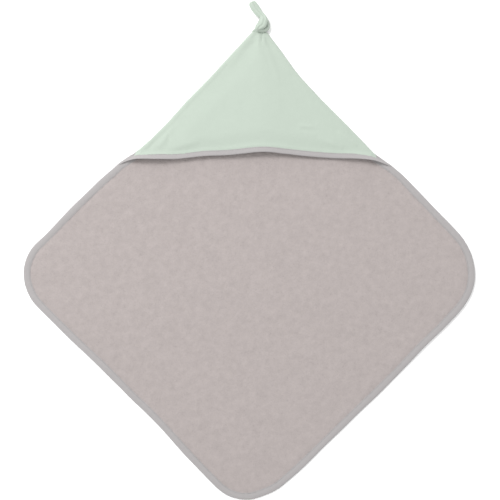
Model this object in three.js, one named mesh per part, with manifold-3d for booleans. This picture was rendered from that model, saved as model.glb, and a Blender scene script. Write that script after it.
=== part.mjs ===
// Hooded baby towel, laid out flat with the hood's side up.
//
// Millimetres. The origin is the centre of the terry square, on the surface that the towel lies on.
// +X runs to the right, +Y towards the hooded corner and its knot, and +Z up, away from the table.
//
// The terry square lies on its diagonal. A tape is folded over its edge from one end of the hood
// round three rounded corners to the other end. The hood is a triangle of muslin over the fourth
// corner: its two slanted sides are sewn to the terry in turned seams, and its front edge, bound in
// the same tape, is free and bows up, so that a pocket is open under it. A rolled strip of muslin
// is caught at the hood's tip and tied in a knot.

import * as THREE from 'three';
import { mergeVertices } from 'three/addons/utils/BufferGeometryUtils.js';
import Module from 'manifold-3d';

const wasm = await Module();
wasm.setup();

// ---------------------------------------------------------------------------------------------
// Driving dimensions
// ---------------------------------------------------------------------------------------------

const CLOTH_GAP = 0.3; // air between two cloths that touch
const SIDE = 800; // side of the terry square
const HALF_DIAGONAL = SIDE / Math.SQRT2;
const CORNER_RADIUS = { left: 102, bottom: 112, right: 130 };
const ARC_STEPS = 7;

const TERRY_THICK = 4; // with its loops standing
const TERRY_PRESSED = 2; // where a folded tape holds the loops down
const SEAM_TURN = 1.4; // the terry's edge lies this far inside a turned hood seam

const TAPE_WIDTH = 16; // each side of the fold
const HOOD_TAPE_WIDTH = 13.5; // the same tape, folded deeper over the hood's thinner cloth
const TAPE_THICK = 0.8;
const THREAD_WIDTH = 1;
const THREAD_THICK = 0.4;
const THREAD_FROM_EDGE = 2; // the stitching lies this far inside the tape's inner edge

const HOOD_TIP = [21, 570]; // where the hood's two seams would meet
const HOOD_TOP_Y = 549; // where the tip is closed by the tie
const SEAM_END = { left: [-262, 277], right: [283, 271] };
const SEAM_BEND = [94, 472]; // the right seam is drawn in a little here
const SHOULDER = { left: [-303, 251], right: [321, 245] }; // where the bound edge leaves the hood
const SHOULDER_RADIUS = 24;
const HOOD_THICK = 1.2;
const HOOD_ALLOWANCE = 10; // turned in along each slanted seam
const HOOD_SPANS = 56;

// The fold of the hood's free front edge, left to right: x, y, and its lift off the seams' level.
const HOOD_FRONT = [
  [-300, 247, 0],
  [-281, 255.5, 0],
  [-258, 259.5, 1.8],
  [-215, 259.2, 5],
  [-168, 259.5, 6],
  [-108, 265.8, 7],
  [-50, 268.2, 9.5],
  [25, 275, 12.5],
  [78, 270.8, 10.5],
  [130, 265.5, 7.5],
  [190, 261.2, 5.5],
  [240, 260, 4.5],
  [276, 256.5, 1.5],
  [297, 251, 0],
  [318, 243, 0],
];

const KNOT_CENTRE = [27.6, 565, 13.2];
const KNOT_HALF_HEIGHT = 13.2; // off the table
// Half-width of the knot along its own length, from the hood's side to the tail's side.
const KNOT_PROFILE = [
  [0, -15.4],
  [8, -14.6],
  [13.8, -11],
  [16.8, -4.5],
  [16.2, 2],
  [12.6, 8.5],
  [8.8, 13.5],
  [0, 16.5],
];
const KNOT_SIDES = 20;
const NECK_ROUTE = [[21, 545, 5.8], [23, 554, 8.6], [26, 562, 12.5]];
const NECK_RADIUS = 5.4;
const TAIL_ROUTE = [[28, 570, 13], [26, 584, 11], [15.5, 601, 8.2], [4.6, 617, 7.6]];
const TAIL_RADIUS = 7.5;
const TUBE_SIDES = 10;

// Levels that follow from the thicknesses
const PRESSED_Z = TAPE_THICK + CLOTH_GAP; // underside of the terry inside the folded tape
const TAPE_TOP_LEAF_Z = PRESSED_Z + TERRY_PRESSED + CLOTH_GAP;
const TAPE_TOP_Z = TAPE_TOP_LEAF_Z + TAPE_THICK;
// Underside of the hood's cloth at its seams, where its own binding crosses the perimeter tape
const HOOD_BASE_Z = TAPE_TOP_Z + CLOTH_GAP + TAPE_THICK + CLOTH_GAP;
const TALL = 100; // higher than anything that is trimmed

// ---------------------------------------------------------------------------------------------
// Solids
// ---------------------------------------------------------------------------------------------

function toManifold(geometry) {
  const bare = geometry.clone();
  bare.deleteAttribute('normal');
  bare.deleteAttribute('uv');
  const welded = mergeVertices(bare, 1e-4);
  return new wasm.Manifold(new wasm.Mesh({
    numProp: 3,
    vertProperties: new Float32Array(welded.attributes.position.array),
    triVerts: new Uint32Array(welded.index.array),
  }));
}

function toGeometry(manifold) {
  const mesh = manifold.getMesh();
  const geometry = new THREE.BufferGeometry();
  geometry.setAttribute('position', new THREE.BufferAttribute(new Float32Array(mesh.vertProperties), 3));
  geometry.setIndex(new THREE.BufferAttribute(new Uint32Array(mesh.triVerts), 1));
  geometry.computeVertexNormals();
  return geometry;
}

// A flat shape raised from one level to another.
function prism(shape, bottom, top) {
  const geometry = new THREE.ExtrudeGeometry(shape, {
    depth: top - bottom,
    bevelEnabled: false,
    curveSegments: ARC_STEPS,
  });
  return toManifold(geometry.translate(0, 0, bottom));
}

// Everything on one side of a line across the towel.
function slabAcross(fromY, toY) {
  const geometry = new THREE.BoxGeometry(4 * SIDE, toY - fromY, 2 * TALL);
  return toManifold(geometry.translate(0, (fromY + toY) / 2, 0));
}

// A round tube along a smooth curve through a few points.
function tube(route, radius, steps) {
  const curve = new THREE.CatmullRomCurve3(route.map((point) => new THREE.Vector3(...point)));
  const section = new THREE.Shape();
  section.absarc(0, 0, radius, 0, 2 * Math.PI);
  return toManifold(new THREE.ExtrudeGeometry(section, {
    extrudePath: curve,
    steps,
    curveSegments: TUBE_SIDES / 2,
  }));
}

// ---------------------------------------------------------------------------------------------
// The towel's outline, drawn in by one distance along its bound edges and another along the seams
// ---------------------------------------------------------------------------------------------

// Anticlockwise from above. Each edge runs from its own corner to the next one.
const CORNERS = [
  { at: HOOD_TIP, radius: 0, edge: 'seam' },
  { at: SEAM_END.left, radius: 0, edge: 'bound' },
  { at: SHOULDER.left, radius: SHOULDER_RADIUS, edge: 'bound' },
  { at: [-HALF_DIAGONAL, 0], radius: CORNER_RADIUS.left, edge: 'bound' },
  { at: [0, -HALF_DIAGONAL], radius: CORNER_RADIUS.bottom, edge: 'bound' },
  { at: [HALF_DIAGONAL, 0], radius: CORNER_RADIUS.right, edge: 'bound' },
  { at: SHOULDER.right, radius: SHOULDER_RADIUS, edge: 'bound' },
  { at: SEAM_END.right, radius: 0, edge: 'seam' },
  { at: SEAM_BEND, radius: 0, edge: 'seam' },
];

// One edge's line, moved into the towel.
function movedEdge(index, inset) {
  const { at, edge } = CORNERS[index];
  const from = new THREE.Vector2(...at);
  const to = new THREE.Vector2(...CORNERS[(index + 1) % CORNERS.length].at);
  const along = to.sub(from).normalize();
  const shift = new THREE.Vector2(-along.y, along.x).multiplyScalar(inset[edge]);
  return { edge, along, shift, point: from.add(shift) };
}

function crossing(one, other) {
  const between = other.point.clone().sub(one.point);
  const reach = between.cross(other.along) / one.along.cross(other.along);
  return one.point.clone().addScaledVector(one.along, reach);
}

// Where a bound edge meets a seam, the tape is cut square across, so that the outline has a step.
function cornerPoints(corner, before, after) {
  if (before.edge === after.edge) {
    return [crossing(before, after)];
  }
  return [before, after].map(({ shift }) => new THREE.Vector2(...corner.at).add(shift));
}

function outline(boundInset, seamInset) {
  const inset = { bound: boundInset, seam: seamInset };
  const shape = new THREE.Shape();
  CORNERS.forEach((corner, index) => {
    const before = movedEdge((index + CORNERS.length - 1) % CORNERS.length, inset);
    const after = movedEdge(index, inset);
    const points = cornerPoints(corner, before, after);
    if (corner.radius > 0) {
      roundCorner(shape, points[0], before.along, after.along, corner.radius - boundInset);
    } else if (index === 0) {
      shape.moveTo(points[0].x, points[0].y);
    } else {
      points.forEach((point) => shape.lineTo(point.x, point.y));
    }
  });
  shape.closePath();
  return shape;
}

// A round corner between two straight edges that turn to the left.
function roundCorner(shape, point, along, onward, radius) {
  const turn = Math.acos(along.dot(onward));
  const start = point.clone().addScaledVector(along, -radius * Math.tan(turn / 2));
  const centre = start.clone().add(new THREE.Vector2(-along.y, along.x).multiplyScalar(radius));
  const startAngle = Math.atan2(start.y - centre.y, start.x - centre.x);
  shape.lineTo(start.x, start.y);
  shape.absarc(centre.x, centre.y, radius, startAngle, startAngle + turn, false);
}

// ---------------------------------------------------------------------------------------------
// Terry, its tape and the tape's stitching
// ---------------------------------------------------------------------------------------------

function terryPanel() {
  const pressedEdge = prism(outline(PRESSED_Z, SEAM_TURN), PRESSED_Z, PRESSED_Z + TERRY_PRESSED);
  const loops = prism(outline(TAPE_WIDTH + CLOTH_GAP, SEAM_TURN), 0, TERRY_THICK);
  return trimTip(pressedEdge.add(loops));
}

// The towel is closed at the hood's top, where the tie leaves it.
function trimTip(solid) {
  return solid.subtract(slabAcross(HOOD_TOP_Y, SIDE));
}

function perimeterBinding() {
  const around = prism(outline(0, 0), 0, TAPE_TOP_Z);
  const inside = prism(outline(TAPE_WIDTH, 0), -TALL, TALL);
  const fold = prism(outline(TAPE_THICK, -SIDE / 100), TAPE_THICK, TAPE_TOP_LEAF_Z);
  return around.subtract(inside).subtract(fold);
}

// A line of stitching on the tape's upper leaf, clear of the hood that lies over its two ends.
function perimeterThread() {
  const bottom = TAPE_TOP_Z + CLOTH_GAP;
  const outerInset = TAPE_WIDTH - THREAD_FROM_EDGE - THREAD_WIDTH;
  const outer = prism(outline(outerInset, 0), bottom, bottom + THREAD_THICK);
  const inner = prism(outline(outerInset + THREAD_WIDTH, 0), -TALL, TALL);
  const hoodFrontY = Math.min(...HOOD_FRONT.map((point) => point[1]));
  return outer.subtract(inner).subtract(slabAcross(hoodFrontY - TAPE_WIDTH, SIDE));
}

// The stitching of one turned seam lies in the crease under the hood's edge, beside the terry's.
function seamThread(sign) {
  const inset = { outer: CLOTH_GAP, inner: SEAM_TURN - CLOTH_GAP };
  const outer = prism(outline(0, inset.outer), TERRY_THICK - 3 * CLOTH_GAP, TERRY_THICK);
  const inner = prism(outline(0, inset.inner), -TALL, TALL);
  const seams = outer.subtract(inner).intersect(slabAcross(SEAM_END.left[1] + 2, HOOD_TOP_Y - 3));
  const half = new THREE.BoxGeometry(SIDE, 4 * SIDE, 2 * TALL);
  return seams.intersect(toManifold(half.translate(HOOD_TIP[0] + sign * SIDE / 2, 0, 0)));
}

// ---------------------------------------------------------------------------------------------
// Hood: straight lines of cloth run from its tip to its lifted front edge
// ---------------------------------------------------------------------------------------------

const frontCurve = new THREE.CatmullRomCurve3(HOOD_FRONT.map((point) => new THREE.Vector3(...point)));

// A place on the hood: how far across (0 left, 1 right), how far behind the front fold, and how far
// above the underside of its cloth.
function hoodPoint(across, behind, above) {
  const front = frontCurve.getPoint(across);
  const toTip = new THREE.Vector2(HOOD_TIP[0] - front.x, HOOD_TIP[1] - front.y);
  const share = behind / toTip.length();
  return new THREE.Vector3(
    front.x + toTip.x * share,
    front.y + toTip.y * share,
    HOOD_BASE_Z + front.z * (1 - share) + above,
  );
}

// A closed section carried across the hood from left to right. The section is a list of
// [behind, above] corners, anticlockwise when seen from the left; behind may be a function of across.
function sweepAcrossHood(section, spans) {
  const positions = [];
  for (let i = 0; i <= spans; i += 1) {
    section.forEach(([behind, above]) => {
      const distance = typeof behind === 'function' ? behind(i / spans) : behind;
      positions.push(...hoodPoint(i / spans, distance, above).toArray());
    });
  }
  const count = section.length;
  const faces = [];
  for (let i = 0; i < spans; i += 1) {
    for (let k = 0; k < count; k += 1) {
      const a = i * count + k;
      const b = i * count + ((k + 1) % count);
      faces.push(a, b, b + count, a, b + count, a + count);
    }
  }
  const flat = section.map(([behind, above]) => (
    new THREE.Vector2(typeof behind === 'function' ? behind(0.5) : behind, above)
  ));
  THREE.ShapeUtils.triangulateShape(flat, []).forEach(([a, b, c]) => {
    faces.push(c, b, a);
    faces.push(spans * count + a, spans * count + b, spans * count + c);
  });
  const geometry = new THREE.BufferGeometry();
  geometry.setAttribute('position', new THREE.Float32BufferAttribute(positions, 3));
  geometry.setIndex(faces);
  return toManifold(geometry);
}

function hoodPanel() {
  const front = TAPE_THICK + CLOTH_GAP;
  const nearTip = (across) => {
    const edge = frontCurve.getPoint(across);
    return 0.985 * Math.hypot(HOOD_TIP[0] - edge.x, HOOD_TIP[1] - edge.y);
  };
  const section = [
    [front, 0],
    [nearTip, 0],
    [nearTip, HOOD_THICK],
    [front, HOOD_THICK],
  ];
  const cloth = sweepAcrossHood(section, HOOD_SPANS);
  const turnedBottom = TERRY_THICK + CLOTH_GAP;
  const turned = prism(outline(0, 0), turnedBottom, HOOD_BASE_Z + HOOD_THICK + CLOTH_GAP)
    .subtract(prism(outline(0, HOOD_ALLOWANCE), -TALL, TALL))
    .intersect(slabAcross(SEAM_END.left[1] + 1, SIDE));
  return trimTip(cloth.intersect(prism(outline(0, 0), -TALL, TALL)).add(turned));
}

function hoodEdgeBinding() {
  const under = -CLOTH_GAP - TAPE_THICK;
  const over = HOOD_THICK + CLOTH_GAP + TAPE_THICK;
  const section = [
    [0, under],
    [HOOD_TAPE_WIDTH, under],
    [HOOD_TAPE_WIDTH, under + TAPE_THICK],
    [TAPE_THICK, under + TAPE_THICK],
    [TAPE_THICK, over - TAPE_THICK],
    [HOOD_TAPE_WIDTH, over - TAPE_THICK],
    [HOOD_TAPE_WIDTH, over],
    [0, over],
  ];
  return sweepAcrossHood(section, HOOD_SPANS).intersect(prism(outline(0, 0), -TALL, TALL));
}

function hoodEdgeThread() {
  const bottom = HOOD_THICK + CLOTH_GAP + TAPE_THICK + CLOTH_GAP;
  const near = HOOD_TAPE_WIDTH - THREAD_FROM_EDGE - THREAD_WIDTH;
  const section = [
    [near, bottom],
    [near + THREAD_WIDTH, bottom],
    [near + THREAD_WIDTH, bottom + THREAD_THICK],
    [near, bottom + THREAD_THICK],
  ];
  return sweepAcrossHood(section, HOOD_SPANS).intersect(prism(outline(THREAD_FROM_EDGE, 0), -TALL, TALL));
}

// ---------------------------------------------------------------------------------------------
// Tie: one rolled strip from the hood's tip, through a knot, to its free end
// ---------------------------------------------------------------------------------------------

function tipTie() {
  const profile = KNOT_PROFILE.map(([radius, along]) => new THREE.Vector2(radius, along));
  const knot = new THREE.LatheGeometry(profile, KNOT_SIDES);
  knot.scale(1, 1, KNOT_HALF_HEIGHT / 16.8).translate(...KNOT_CENTRE);
  return toManifold(knot)
    .add(tube(NECK_ROUTE, NECK_RADIUS, 4))
    .add(tube(TAIL_ROUTE, TAIL_RADIUS, 9))
    .subtract(slabAcross(0, HOOD_TOP_Y + 2 * CLOTH_GAP));
}

// ---------------------------------------------------------------------------------------------
// Assembly
// ---------------------------------------------------------------------------------------------

const FINISHES = {
  terry: new THREE.MeshStandardMaterial({ color: 0xc3b8b6, roughness: 1, metalness: 0 }),
  tape: new THREE.MeshStandardMaterial({ color: 0xbab8b4, roughness: 0.85, metalness: 0 }),
  muslin: new THREE.MeshStandardMaterial({ color: 0xcfdccf, roughness: 0.9, metalness: 0 }),
  thread: new THREE.MeshStandardMaterial({ color: 0xb2b0ac, roughness: 0.7, metalness: 0 }),
};

function piece(name, solid, finish) {
  const mesh = new THREE.Mesh(toGeometry(solid), FINISHES[finish].clone());
  mesh.name = name;
  return mesh;
}

const towel = new THREE.Group();
towel.add(
  piece('terry_panel', terryPanel(), 'terry'),
  piece('perimeter_binding', perimeterBinding(), 'tape'),
  piece('perimeter_thread', perimeterThread(), 'thread'),
  piece('left_seam_thread', seamThread(-1), 'thread'),
  piece('right_seam_thread', seamThread(1), 'thread'),
);

const hood = new THREE.Group();
hood.add(
  piece('hood_panel', hoodPanel(), 'muslin'),
  piece('hood_edge_binding', hoodEdgeBinding(), 'tape'),
  piece('hood_edge_thread', hoodEdgeThread(), 'thread'),
);

const tie = new THREE.Group();
tie.add(piece('tip_tie', tipTie(), 'muslin'));

const hoodedTowel = new THREE.Group();
hoodedTowel.add(towel, hood, tie);

export default hoodedTowel;
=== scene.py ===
import bpy
import numpy as np
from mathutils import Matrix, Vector
from mathutils.geometry import delaunay_2d_cdt
from mathutils.kdtree import KDTree


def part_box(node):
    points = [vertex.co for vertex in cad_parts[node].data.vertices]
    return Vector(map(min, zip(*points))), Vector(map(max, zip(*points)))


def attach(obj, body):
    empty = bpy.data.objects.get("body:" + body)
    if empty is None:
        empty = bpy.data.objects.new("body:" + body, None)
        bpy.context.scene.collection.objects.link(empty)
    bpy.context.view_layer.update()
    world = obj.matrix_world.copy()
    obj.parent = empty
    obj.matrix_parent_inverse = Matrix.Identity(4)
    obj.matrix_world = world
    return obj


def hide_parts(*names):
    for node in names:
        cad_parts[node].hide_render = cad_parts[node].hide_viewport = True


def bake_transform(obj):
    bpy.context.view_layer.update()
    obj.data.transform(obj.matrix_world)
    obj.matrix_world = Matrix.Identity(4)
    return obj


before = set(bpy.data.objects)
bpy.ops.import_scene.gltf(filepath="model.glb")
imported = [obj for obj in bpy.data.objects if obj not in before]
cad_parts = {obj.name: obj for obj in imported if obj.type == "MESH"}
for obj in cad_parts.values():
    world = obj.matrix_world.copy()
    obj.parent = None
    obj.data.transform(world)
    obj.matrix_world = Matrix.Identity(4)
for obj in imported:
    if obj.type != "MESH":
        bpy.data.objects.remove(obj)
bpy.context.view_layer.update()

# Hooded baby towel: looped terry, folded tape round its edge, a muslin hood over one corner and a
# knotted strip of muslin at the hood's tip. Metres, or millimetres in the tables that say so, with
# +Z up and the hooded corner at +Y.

MM = 0.001

# ==== Driving dimensions ====

# The outlines are the frame's own. The hood's cloth is a little thinner here, and its tape narrower.
SIDE = 0.8
HALF_DIAGONAL = SIDE / np.sqrt(2)
TIP = np.array([21, 570]) * MM
TOP_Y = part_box("hood_panel")[1].y
SEAM_END_LEFT = np.array([-262, 277]) * MM
SEAM_END_RIGHT = np.array([283, 271]) * MM
SEAM_BEND = np.array([94, 472]) * MM
# The bound edge from the hood's left end round to its right end: each corner and its radius
BOUND_CORNERS = [
    (SEAM_END_LEFT, 0),
    (np.array([-303, 251]) * MM, 24 * MM),
    (np.array([-HALF_DIAGONAL, 0]), 102 * MM),
    (np.array([0, -HALF_DIAGONAL]), 112 * MM),
    (np.array([HALF_DIAGONAL, 0]), 130 * MM),
    (np.array([321, 245]) * MM, 24 * MM),
    (SEAM_END_RIGHT, 0),
]
# How far the cloth's edges were pulled in as it was laid out: share along the line, millimetres
BOUND_DRIFT = [
    (0, 0), (0.03, 1), (0.045, -0.8), (0.08, -0.6), (0.1, 1.1), (0.125, 3), (0.17, 2.8),
    (0.192, 4), (0.218, 1.2), (0.245, 1.7), (0.27, 2.6), (0.3, 5), (0.345, 3.6), (0.36, 5.4),
    (0.38, 4.7), (0.405, 2.8), (0.425, 0), (0.445, -1), (0.485, -1.2), (0.505, 2.5), (0.52, 9),
    (0.535, 8), (0.56, 3.7), (0.58, 2.2), (0.645, 0.6), (0.68, -0.8), (0.71, -1.4), (0.74, 1.5),
    (0.77, 0.2), (0.8, 2.6), (0.825, 0.9), (0.845, 2.4), (0.87, 2), (0.9, 0), (0.925, -1.3),
    (0.95, -2.2), (0.966, -3.8), (0.98, 0), (1, 0),
]
SEAM_DRIFT_LEFT = [(0, 0), (0.12, 0.5), (0.3, 2), (0.42, 3.5), (0.6, 2.5), (0.75, 5), (0.9, 4), (1, 0)]
SEAM_DRIFT_RIGHT = [(0, 0), (0.1, 0), (0.25, 1), (0.45, 3.5), (0.62, 3), (0.7, 0), (0.8, -1), (1, 0)]
DRIFT_SAMPLES = 400
DRIFT_ROUNDING = 5  # samples either side that a table's corners are rounded over
LINE_STEP = 2 * MM
ARC_STEPS = 40
TERRY_THICK = 4.0 * MM
TERRY_PRESSED = 3.1 * MM  # top of the terry where the tape holds it down
TAPE_WIDTH = 16 * MM
HOOD_TAPE_WIDTH = 12.2 * MM
HOOD_BASE_Z = 5.6 * MM
HOOD_THICK = 1.0 * MM
HOOD_ALLOWANCE = 10 * MM
SEAM_LOW = 1.2 * MM  # the hood's edge over the table, along the closed seams
# The fold of the hood's front edge, left to right, and its lift
HOOD_FRONT = np.array([
    [-300, 247, 0], [-281, 255.5, 0], [-258, 259.5, 1.8], [-215, 259.2, 5], [-168, 259.5, 6],
    [-108, 265.8, 7], [-50, 268.2, 9.5], [25, 275, 12.5], [78, 270.8, 10.5], [130, 265.5, 7.5],
    [190, 261.2, 5.5], [240, 260, 4.5], [276, 256.5, 1.5], [297, 251, 0], [318, 243, 0],
]) * MM
# What the stiff bound edge adds to that lift where it turns up or down, at the same places
FRONT_LIP = np.array([1, 5, 11, 10, 3.5, 2, 0.5, 2.5, 0, -1, -0.5, 7, 12, 7, 1]) * MM
LIP_DEPTH = 30 * MM
# The towel's free edges wave, less and less inwards, and its middle rises and falls more gently
EDGE_WAVE_HIGH = 2.6 * MM
EDGE_WAVE_LONG = 150 * MM
EDGE_WAVE_IN = 90 * MM
MIDDLE_WAVE_HIGH = 0.5 * MM
MIDDLE_WAVE_LONG = 210 * MM
ANY_PHASE = (0, 6.28)  # radians

# ==== Lines, distances and random heights ====


def unit(v):
    return v / np.linalg.norm(v, axis=-1, keepdims=True)


def left_of(v):
    """The direction to the left of a flat direction."""
    return np.stack([-v[..., 1], v[..., 0]], axis=-1)


def smoothstep(low, high, value):
    t = np.clip((value - low) / (high - low), 0, 1)
    return t * t * (3 - 2 * t)


def ridge(distance, middle, reach):
    """1 at a distance of middle, falling away either side of it."""
    return np.exp(-((distance - middle) / reach) ** 2)


def length_along(line):
    """How far along a line each of its points is."""
    return np.concatenate([[0], np.cumsum(np.linalg.norm(np.diff(line, axis=0), axis=1))])


def spaced(line, step):
    """The same line with its points about step apart."""
    along = length_along(line)
    at = np.linspace(0, along[-1], max(2, int(round(along[-1] / step)) + 1))
    return np.stack([np.interp(at, along, line[:, k]) for k in range(line.shape[1])], axis=1)


def smooth_curve(points, count):
    """A Catmull-Rom curve through the points, and the share 0..1 of each of its own points."""
    ends = np.vstack([2 * points[0] - points[1], points, 2 * points[-1] - points[-2]])
    share = np.linspace(0, 1, count)
    at = share * (len(points) - 1)
    i = np.minimum(at.astype(int), len(points) - 2)
    t = (at - i)[:, None]
    a, b, c, d = ends[i], ends[i + 1], ends[i + 2], ends[i + 3]
    curve = 0.5 * (2 * b + (c - a) * t + (2 * a - 5 * b + 4 * c - d) * t**2
                   + (3 * b - a - 3 * c + d) * t**3)
    return curve, share


def arc_at(before, at, after, radius):
    """A round left turn at a corner."""
    along, onward = unit(at - before), unit(after - at)
    turn = np.arccos(along @ onward)
    start = at - along * radius * np.tan(turn / 2)
    centre = start + left_of(along) * radius
    first = np.arctan2(*(start - centre)[::-1])
    angles = first + np.linspace(0, turn, ARC_STEPS)
    return centre + radius * np.stack([np.cos(angles), np.sin(angles)], axis=1)


def drifted(line, drift):
    """A line moved into the towel by the amounts of a drift table, rounded between its places."""
    inward = left_of(unit(np.gradient(line, axis=0)))
    share = length_along(line) / length_along(line)[-1]
    places, amounts = np.array(drift).T
    fine = np.linspace(0, 1, DRIFT_SAMPLES)
    kernel = np.hanning(2 * DRIFT_ROUNDING + 1)
    padded = np.pad(np.interp(fine, places, amounts), DRIFT_ROUNDING, "edge")
    rounded = np.convolve(padded, kernel / kernel.sum(), "valid")
    return line + inward * np.interp(share, fine, rounded)[:, None] * MM


def bound_edge(step):
    """Points along the towel's bound edge, and the direction into the towel at each."""
    route = [BOUND_CORNERS[0][0][None]]
    for before, (at, radius), after in zip(BOUND_CORNERS, BOUND_CORNERS[1:], BOUND_CORNERS[2:]):
        route.append(arc_at(before[0], at, after[0], radius))
    route.append(BOUND_CORNERS[-1][0][None])
    line = spaced(drifted(spaced(np.vstack(route), LINE_STEP), BOUND_DRIFT), step)
    return line, left_of(unit(np.gradient(line, axis=0)))


def seam_left(step, inset=0.0):
    """Points down the hood's left seam, from the towel's closed top to the seam's end."""
    line = drifted(spaced(np.array([TIP, SEAM_END_LEFT]), LINE_STEP), SEAM_DRIFT_LEFT)
    return below_top(moved_in(line, inset), step)


def seam_right(step, inset=0.0):
    """Points up the hood's right seam, from its end to the towel's closed top."""
    line = drifted(spaced(np.array([SEAM_END_RIGHT, SEAM_BEND, TIP]), LINE_STEP), SEAM_DRIFT_RIGHT)
    return below_top(moved_in(line, inset)[::-1], step)[::-1]


def moved_in(line, inset):
    return line + left_of(unit(np.gradient(line, axis=0))) * inset


def below_top(line, step):
    """The part of a line from the top down that lies under the towel's closed top."""
    start = np.array([np.interp(-TOP_Y, -line[:, 1], line[:, 0]), TOP_Y])
    return spaced(np.vstack([start, line[line[:, 1] < TOP_Y - 0.1 * MM]]), step)


def tree_of(points):
    """A search tree of points on the flat."""
    tree = KDTree(len(points))
    for index, point in enumerate(points):
        tree.insert((*point[:2], 0), index)
    tree.balance()
    return tree


def distances(points, tree):
    """How far each point is from the nearest one of a tree, on the flat."""
    return np.array([tree.find((x, y, 0))[2] for x, y in points[:, :2]])


def hills(points, cell, seed):
    """Smooth random heights from -1 to 1, with hills about one cell apart."""
    size = 256
    heights = np.random.default_rng(seed).uniform(-1, 1, (size, size))
    turn = np.radians(17 + 31 * seed)  # each seed's rows run their own way
    x = points[:, 0] * np.cos(turn) - points[:, 1] * np.sin(turn)
    y = points[:, 0] * np.sin(turn) + points[:, 1] * np.cos(turn)
    at = np.stack([x, y], axis=1) / cell + size / 2
    low = np.floor(at).astype(int)
    part = at - low
    part = part * part * (3 - 2 * part)
    i, j = low[:, 0] % size, low[:, 1] % size
    i_next, j_next = (i + 1) % size, (j + 1) % size
    near = heights[i, j] * (1 - part[:, 0]) + heights[i_next, j] * part[:, 0]
    far = heights[i, j_next] * (1 - part[:, 0]) + heights[i_next, j_next] * part[:, 0]
    return near * (1 - part[:, 1]) + far * part[:, 1]


def uneven(points, layers):
    """Hills of several kinds added up: the height, size and seed of each, millimetres."""
    return sum(height * MM * hills(points, size * MM, seed) for height, size, seed in layers)


EDGE_STEP = 0.5 * MM
EDGE_TREE = tree_of(bound_edge(EDGE_STEP)[0])
SEAM_STEP = 0.25 * MM
SEAM_TREE = tree_of(np.vstack([seam_right(SEAM_STEP), seam_left(SEAM_STEP)]))


def depth_in_towel(points):
    """How far points lie inside the towel's bound edge, negative outside it, and the way inward."""
    edge, inward = bound_edge(EDGE_STEP)
    nearest = [EDGE_TREE.find((x, y, 0))[1] for x, y in points[:, :2]]
    return ((points[:, :2] - edge[nearest]) * inward[nearest]).sum(axis=1), inward[nearest]


def lie_of_towel(points):
    """How far the cloth stands off the table: nearly flat, with its free edges waving a little."""
    rim = np.exp(-distances(points, EDGE_TREE) / EDGE_WAVE_IN)
    wave = np.clip(hills(points, EDGE_WAVE_LONG, 3) + 0.25, 0, None)
    middle = 1 + hills(points, MIDDLE_WAVE_LONG, 4)
    return EDGE_WAVE_HIGH * rim * wave + MIDDLE_WAVE_HIGH * middle


# ==== Meshes ====


def piece(name, points, faces, material, flat=None, normals=None, plain=0):
    """A mesh of the object.

    flat holds a place on the flat cloth for each point, for its pattern. normals gives each point's
    own normal, where a cloth is cut only so that it can bend two ways. The last plain faces, which
    lie across the cut, keep their own.
    """
    mesh = bpy.data.meshes.new(name)
    mesh.from_pydata(np.asarray(points).tolist(), [], [list(map(int, f)) for f in faces])
    mesh.materials.append(material)
    mesh.shade_smooth()
    corners = np.zeros(len(mesh.loops), np.int32)
    mesh.loops.foreach_get("vertex_index", corners)
    if flat is not None:
        mesh.uv_layers.new(name="cloth").data.foreach_set("uv", np.asarray(flat)[corners].ravel())
    if normals is not None:
        first_plain = len(faces) - plain
        for face in list(mesh.polygons)[first_plain:]:
            face.use_smooth = False
        kept = np.asarray(normals)[corners]
        kept[len(corners) - sum(len(face) for face in faces[first_plain:]):] = 0
        mesh.normals_split_custom_set(kept.tolist())
    made = bpy.data.objects.new(name, mesh)
    bpy.context.scene.collection.objects.link(made)
    return made


def point_normals(points, faces):
    """Each point's normal on a surface of triangles or quads."""
    a, b, c = (points[faces[:, k]] for k in (0, 1, faces.shape[1] - 1))
    across = np.cross(b - a, c - a)
    normals = np.zeros_like(points)
    for k in range(faces.shape[1]):
        np.add.at(normals, faces[:, k], across)
    return unit(normals)


# Shares of the spacing: how far a point is off its even place, and how near to the loop or a line
# across it, and to a row, points are left out
JITTER = 0.22
CLEAR_OF_LINE = 0.62
CLEAR_OF_ROW = 0.55
ROW_CLEAR_OF_LINE = 0.5 * MM  # how near to the loop or line a row's own points are left out


def grid(low, high, spacing, rng):
    """Points in even triangles, each a little off its place."""
    x, y = np.meshgrid(np.arange(low[0], high[0], spacing),
                       np.arange(low[1], high[1], spacing * np.sqrt(3) / 2))
    x[::2] += spacing / 2
    points = np.stack([x.ravel(), y.ravel()], axis=1)
    return points + rng.uniform(-JITTER, JITTER, points.shape) * spacing


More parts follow.
